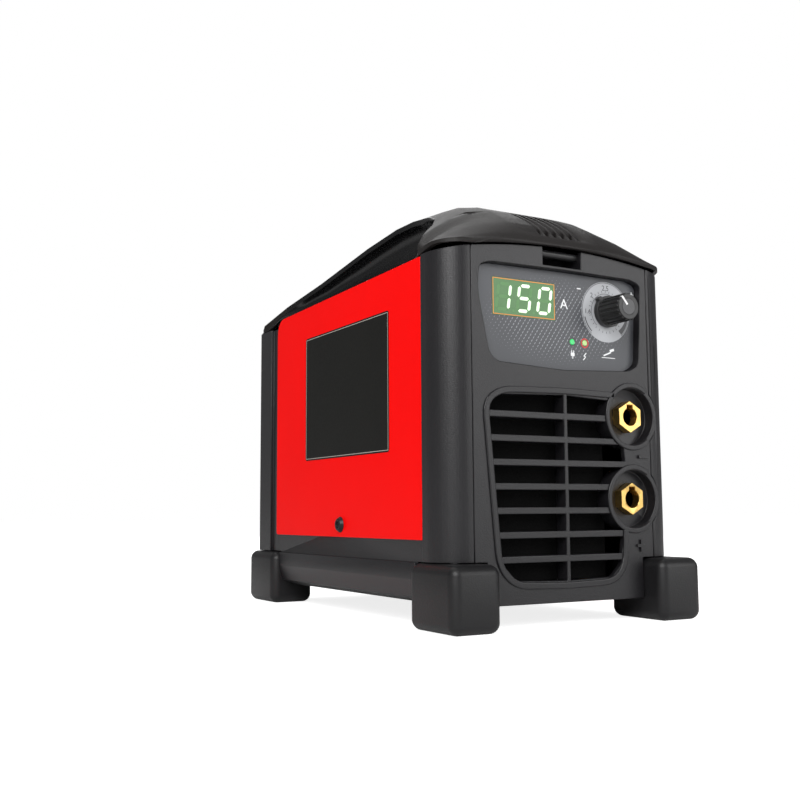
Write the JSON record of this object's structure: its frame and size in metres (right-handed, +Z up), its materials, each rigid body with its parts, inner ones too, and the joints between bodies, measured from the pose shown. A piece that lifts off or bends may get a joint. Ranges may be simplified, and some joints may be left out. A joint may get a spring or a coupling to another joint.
{
  "type": "stick welding inverter",
  "caption": "Portable stick welding power source: a black and red casing with a carrying hood, control recess with turning knob, air grille, plug sockets and rear fan.",
  "frame": {"origin": "centre of the bounding box's foot, on the ground under the four feet", "axes": "+Y from the front panel to the rear, +X to the right as the front is faced, +Z up"},
  "size_m": [0.15, 0.25, 0.22],
  "materials": {
    "black_plastic": "textured",
    "hood_plastic": "fine grain",
    "red_paint": "satin",
    "black_paint": "satin",
    "zinc_steel": "plated",
    "overlay_film": "printed film",
    "lens_plastic": "smoked",
    "display_plastic": "lit segments",
    "lamp_green": "clear dome",
    "lamp_amber": "clear dome",
    "knob_plastic": "moulded",
    "knob_cap_grey": "satin",
    "brass": "machined",
    "copper": "bare copper, brass nearest",
    "board_green": "solder mask",
    "aluminium": "extruded",
    "fan_plastic": "moulded",
    "rocker_red": "moulded",
    "gland_nylon": "moulded",
    "foot_plastic": "textured",
    "capacitor_sleeve": "shrunk sleeve",
    "ferrite": "sintered",
    "winding_tape": "taped copper",
    "package_black": "epoxy",
    "relay_blue": "moulded",
    "cable_grey": "PVC"
  },
  "bodies": {
    "casing": {"front_panel": "black_plastic", "front_left_column": "black_plastic", "front_right_column": "black_plastic", "base_tray": "black_plastic", "left_side_panel": "red_paint", "right_side_panel": "red_paint", "side_panel_screws": "black_paint", "front_crossmember": "zinc_steel", "rear_crossmember": "zinc_steel", "top_cover": "hood_plastic", "top_cover_screws": "black_paint", "front_strap_bar": "black_paint", "rear_strap_bar": "black_paint", "rear_bezel": "black_plastic", "rear_panel": "black_paint", "rear_panel_screws": "black_paint", "front_left_foot": "foot_plastic", "front_right_foot": "foot_plastic", "rear_left_foot": "foot_plastic", "rear_right_foot": "foot_plastic", "foot_screws": "zinc_steel", "control_overlay": "overlay_film", "display_lens": "lens_plastic", "display_module": "display_plastic", "power_lamp": "lamp_green", "fault_lamp": "lamp_amber", "potentiometer": "zinc_steel", "control_board": "board_green", "control_board_spacers": "brass", "negative_socket": "brass", "positive_socket": "brass", "socket_nuts": "zinc_steel", "negative_busbar": "copper", "positive_busbar": "copper", "power_switch_housing": "package_black", "cord_gland": "gland_nylon", "gland_nut": "gland_nylon", "fan_frame": "fan_plastic", "fan_screws": "black_paint", "power_board": "board_green", "board_standoffs": "brass", "primary_heat_sink": "aluminium", "secondary_heat_sink": "aluminium", "switching_transistors": "package_black", "output_diodes": "package_black", "bridge_rectifier": "package_black", "bulk_capacitors": "capacitor_sleeve", "transformer_core": "ferrite", "transformer_winding": "winding_tape", "inductor_core": "ferrite", "inductor_winding": "copper", "filter_choke": "copper", "soft_start_relay": "relay_blue", "driver_card": "board_green", "ribbon_cable": "cable_grey"},
    "knob": {"current_knob": "knob_plastic", "knob_cap": "knob_cap_grey", "potentiometer_shaft": "aluminium"},
    "rocker": {"power_switch_rocker": "rocker_red"},
    "fan": {"fan_rotor": "fan_plastic"}
  },
  "joints": [
    {"name": "current_knob_turn", "type": "hinge", "parent": "casing", "child": "knob", "pos_m": [0.0308, -0.116, 0.1569], "axis": [0, 1, 0], "range_deg": [-90, 180]},
    {"name": "power_rocker_tilt", "type": "hinge", "parent": "casing", "child": "rocker", "pos_m": [0.034, 0.0995, 0.1484], "axis": [-1, 0, 0], "range_deg": [0, 18]},
    {"name": "fan_spin", "type": "hinge", "parent": "casing", "child": "fan", "pos_m": [0, 0.087, 0.0839], "axis": [0, 1, 0], "continuous": true}
  ]
}
